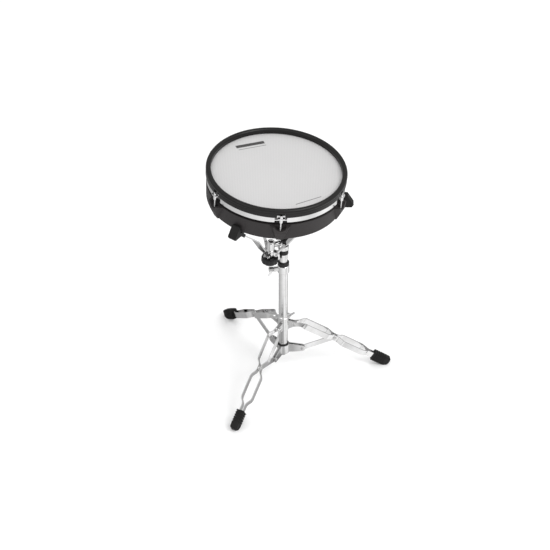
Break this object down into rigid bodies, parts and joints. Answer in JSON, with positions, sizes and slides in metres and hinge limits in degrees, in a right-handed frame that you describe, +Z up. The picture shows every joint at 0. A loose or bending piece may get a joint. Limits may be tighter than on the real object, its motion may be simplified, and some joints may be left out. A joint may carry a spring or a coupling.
{
  "type": "practice pad",
  "caption": "Drum practice pad: a light mesh head in a dark shell with a rubber rim and square-headed tension rods, gripped by a basket on a tilting chrome tripod stand.",
  "frame": {"origin": "centre of the model's box, on the floor", "axes": "+Z up along the stand's tube; -Y is the player's side, towards which the pad is tilted; +X points almost along leg 1"},
  "size_m": [0.4406, 0.467, 0.6132],
  "materials": {
    "chrome": "polished chrome plate",
    "steel": "zinc-plated rivets and strap",
    "rubber": "moulded matte rubber",
    "rim_rubber": "smooth moulded rubber with a soft sheen",
    "black_plastic": "moulded, semi-gloss",
    "shell_plastic": "moulded, satin",
    "mesh": "tight woven mesh",
    "foam": "open-cell foam"
  },
  "bodies": {
    "tripod_base": {"lower_tube": "chrome", "tube_end_cap": "black_plastic", "tube_bushing": "black_plastic", "height_clamp": "chrome", "brace_collar": "chrome", "collar_washer": "black_plastic", "brace_1_pin": "steel", "brace_2_pin": "steel", "brace_3_pin": "steel"},
    "height_bolt": {"height_wing_bolt": "chrome"},
    "leg_slider": {"leg_collar": "chrome", "leg_1_pin": "steel", "leg_2_pin": "steel", "leg_3_pin": "steel"},
    "collar_bolt": {"collar_wing_bolt": "chrome"},
    "mast": {"upper_tube": "chrome", "mast_ring": "black_plastic"},
    "tilter": {"tilter_base": "chrome"},
    "tilter_bolt": {"tilter_wing_bolt": "black_plastic"},
    "basket": {"tilter_head": "chrome", "basket_shaft": "chrome", "basket_hub": "chrome", "arm_1_pin": "steel", "arm_2_pin": "steel", "arm_3_pin": "steel"},
    "clamping_nut": {"basket_nut": "black_plastic"},
    "pad": {"shell": "shell_plastic", "mesh_head": "mesh", "flesh_hoop": "black_plastic", "counter_hoop": "chrome", "rim_cover": "rim_rubber", "sensor_strap": "steel", "sensor_cone": "foam"},
    "leg_1": {"leg_1_left_strip": "chrome", "leg_1_right_strip": "chrome", "leg_1_waist_rivet": "steel", "leg_1_foot": "rubber"},
    "brace_1": {"brace_1": "chrome"},
    "arm_1": {"basket_arm_1": "chrome", "basket_grip_1": "rubber"},
    "leg_2": {"leg_2_left_strip": "chrome", "leg_2_right_strip": "chrome", "leg_2_waist_rivet": "steel", "leg_2_foot": "rubber"},
    "brace_2": {"brace_2": "chrome"},
    "arm_2": {"basket_arm_2": "chrome", "basket_grip_2": "rubber"},
    "leg_3": {"leg_3_left_strip": "chrome", "leg_3_right_strip": "chrome", "leg_3_waist_rivet": "steel", "leg_3_foot": "rubber"},
    "brace_3": {"brace_3": "chrome"},
    "arm_3": {"basket_arm_3": "chrome", "basket_grip_3": "rubber"},
    "tension_1": {"tension_rod_1": "chrome"},
    "tension_2": {"tension_rod_2": "chrome"},
    "tension_3": {"tension_rod_3": "chrome"},
    "tension_4": {"tension_rod_4": "chrome"},
    "tension_5": {"tension_rod_5": "chrome"},
    "tension_6": {"tension_rod_6": "chrome"}
  },
  "joints": [
    {"name": "leg_collar_slide", "type": "slide", "parent": "tripod_base", "child": "leg_slider", "axis": [0, 0, 1], "range_m": [0, 0.08]},
    {"name": "collar_bolt_turn", "type": "hinge", "parent": "leg_slider", "child": "collar_bolt", "pos_m": [-0.04693, 0.00853, 0.139], "axis": [0.4399, 0.898, 0], "continuous": true},
    {"name": "height_bolt_turn", "type": "hinge", "parent": "tripod_base", "child": "height_bolt", "pos_m": [-0.04693, 0.00853, 0.2973], "axis": [-0.9848, -0.1736, 0], "continuous": true},
    {"name": "leg_1_fold", "type": "hinge", "parent": "leg_slider", "child": "leg_1", "pos_m": [-0.02049, 0.01033, 0.134], "axis": [-0.068, 0.9977, 0], "range_deg": [0, 25.2]},
    {"name": "leg_2_fold", "type": "hinge", "parent": "leg_slider", "child": "leg_2", "pos_m": [-0.06171, 0.03053, 0.134], "axis": [-0.83, -0.5577, 0], "range_deg": [0, 25.2]},
    {"name": "leg_3_fold", "type": "hinge", "parent": "leg_slider", "child": "leg_3", "pos_m": [-0.05859, -0.01527, 0.134], "axis": [0.898, -0.4399, 0], "range_deg": [0, 25.2]},
    {"name": "brace_1_fold", "type": "hinge", "parent": "tripod_base", "child": "brace_1", "pos_m": [-0.00004, 0.01173, 0.059], "axis": [-0.068, 0.9977, 0], "range_deg": [-34.5, 0]},
    {"name": "brace_2_fold", "type": "hinge", "parent": "tripod_base", "child": "brace_2", "pos_m": [-0.07315, 0.04754, 0.059], "axis": [-0.83, -0.5577, 0], "range_deg": [-34.5, 0]},
    {"name": "brace_3_fold", "type": "hinge", "parent": "tripod_base", "child": "brace_3", "pos_m": [-0.06761, -0.03368, 0.059], "axis": [0.898, -0.4399, 0], "range_deg": [-34.5, 0]},
    {"name": "height_slide", "type": "slide", "parent": "tripod_base", "child": "mast", "axis": [0, 0, 1], "range_m": [-0.005, 0.1]},
    {"name": "tilter_turn", "type": "hinge", "parent": "mast", "child": "tilter", "pos_m": [-0.04693, 0.00853, 0.372], "axis": [0, 0, 1], "continuous": true},
    {"name": "tilt_bolt_turn", "type": "hinge", "parent": "tilter", "child": "tilter_bolt", "pos_m": [-0.04693, 0.00853, 0.372], "axis": [0.866, 0.5, 0], "continuous": true},
    {"name": "basket_tilt", "type": "hinge", "parent": "tilter", "child": "basket", "pos_m": [-0.04693, 0.00853, 0.372], "axis": [0.866, 0.5, 0], "range_deg": [-50, 2]},
    {"name": "nut_turn", "type": "hinge", "parent": "basket", "child": "clamping_nut", "pos_m": [-0.07629, -0.00842, 0.372], "axis": [0.0618, -0.107, 0.9923], "range_deg": [0, 720]},
    {"name": "arm_1_open", "type": "hinge", "parent": "basket", "child": "arm_1", "pos_m": [-0.08551, -0.01881, 0.34928], "axis": [0.8493, -0.5167, -0.1086], "range_deg": [0, 12.1]},
    {"name": "arm_2_open", "type": "hinge", "parent": "basket", "child": "arm_2", "pos_m": [-0.06268, -0.00641, 0.3492], "axis": [0.0294, 0.994, 0.1054], "range_deg": [0, 12.1]},
    {"name": "arm_3_open", "type": "hinge", "parent": "basket", "child": "arm_3", "pos_m": [-0.08475, 0.00702, 0.35202], "axis": [-0.8787, -0.4773, 0.0032], "range_deg": [0, 12.1]},
    {"name": "pad_lift", "type": "slide", "parent": "basket", "child": "pad", "axis": [0.0618, -0.107, 0.9923], "range_m": [0, 0.15]},
    {"name": "tension_1_turn", "type": "hinge", "parent": "pad", "child": "tension_1", "pos_m": [-0.05236, -0.18914, 0.57715], "axis": [0.0618, -0.107, 0.9923], "continuous": true},
    {"name": "tension_2_turn", "type": "hinge", "parent": "pad", "child": "tension_2", "pos_m": [0.0789, -0.1012, 0.57846], "axis": [0.0618, -0.107, 0.9923], "continuous": true},
    {"name": "tension_3_turn", "type": "hinge", "parent": "pad", "child": "tension_3", "pos_m": [0.06884, 0.0555, 0.59599], "axis": [0.0618, -0.107, 0.9923], "continuous": true},
    {"name": "tension_4_turn", "type": "hinge", "parent": "pad", "child": "tension_4", "pos_m": [-0.07249, 0.12426, 0.61221], "axis": [0.0618, -0.107, 0.9923], "continuous": true},
    {"name": "tension_5_turn", "type": "hinge", "parent": "pad", "child": "tension_5", "pos_m": [-0.20375, 0.03632, 0.6109], "axis": [0.0618, -0.107, 0.9923], "continuous": true},
    {"name": "tension_6_turn", "type": "hinge", "parent": "pad", "child": "tension_6", "pos_m": [-0.19368, -0.12038, 0.59337], "axis": [0.0618, -0.107, 0.9923], "continuous": true}
  ],
  "couplings": [
    {"joint": "leg_1_fold", "follows": "leg_collar_slide", "rad_per_m": 5.458},
    {"joint": "leg_2_fold", "follows": "leg_collar_slide", "rad_per_m": 5.458},
    {"joint": "leg_3_fold", "follows": "leg_collar_slide", "rad_per_m": 5.458},
    {"joint": "brace_1_fold", "follows": "leg_collar_slide", "rad_per_m": -7.491},
    {"joint": "brace_2_fold", "follows": "leg_collar_slide", "rad_per_m": -7.491},
    {"joint": "brace_3_fold", "follows": "leg_collar_slide", "rad_per_m": -7.491},
    {"joint": "arm_1_open", "follows": "nut_turn", "ratio": 0.016667},
    {"joint": "arm_2_open", "follows": "nut_turn", "ratio": 0.016667},
    {"joint": "arm_3_open", "follows": "nut_turn", "ratio": 0.016667}
  ]
}
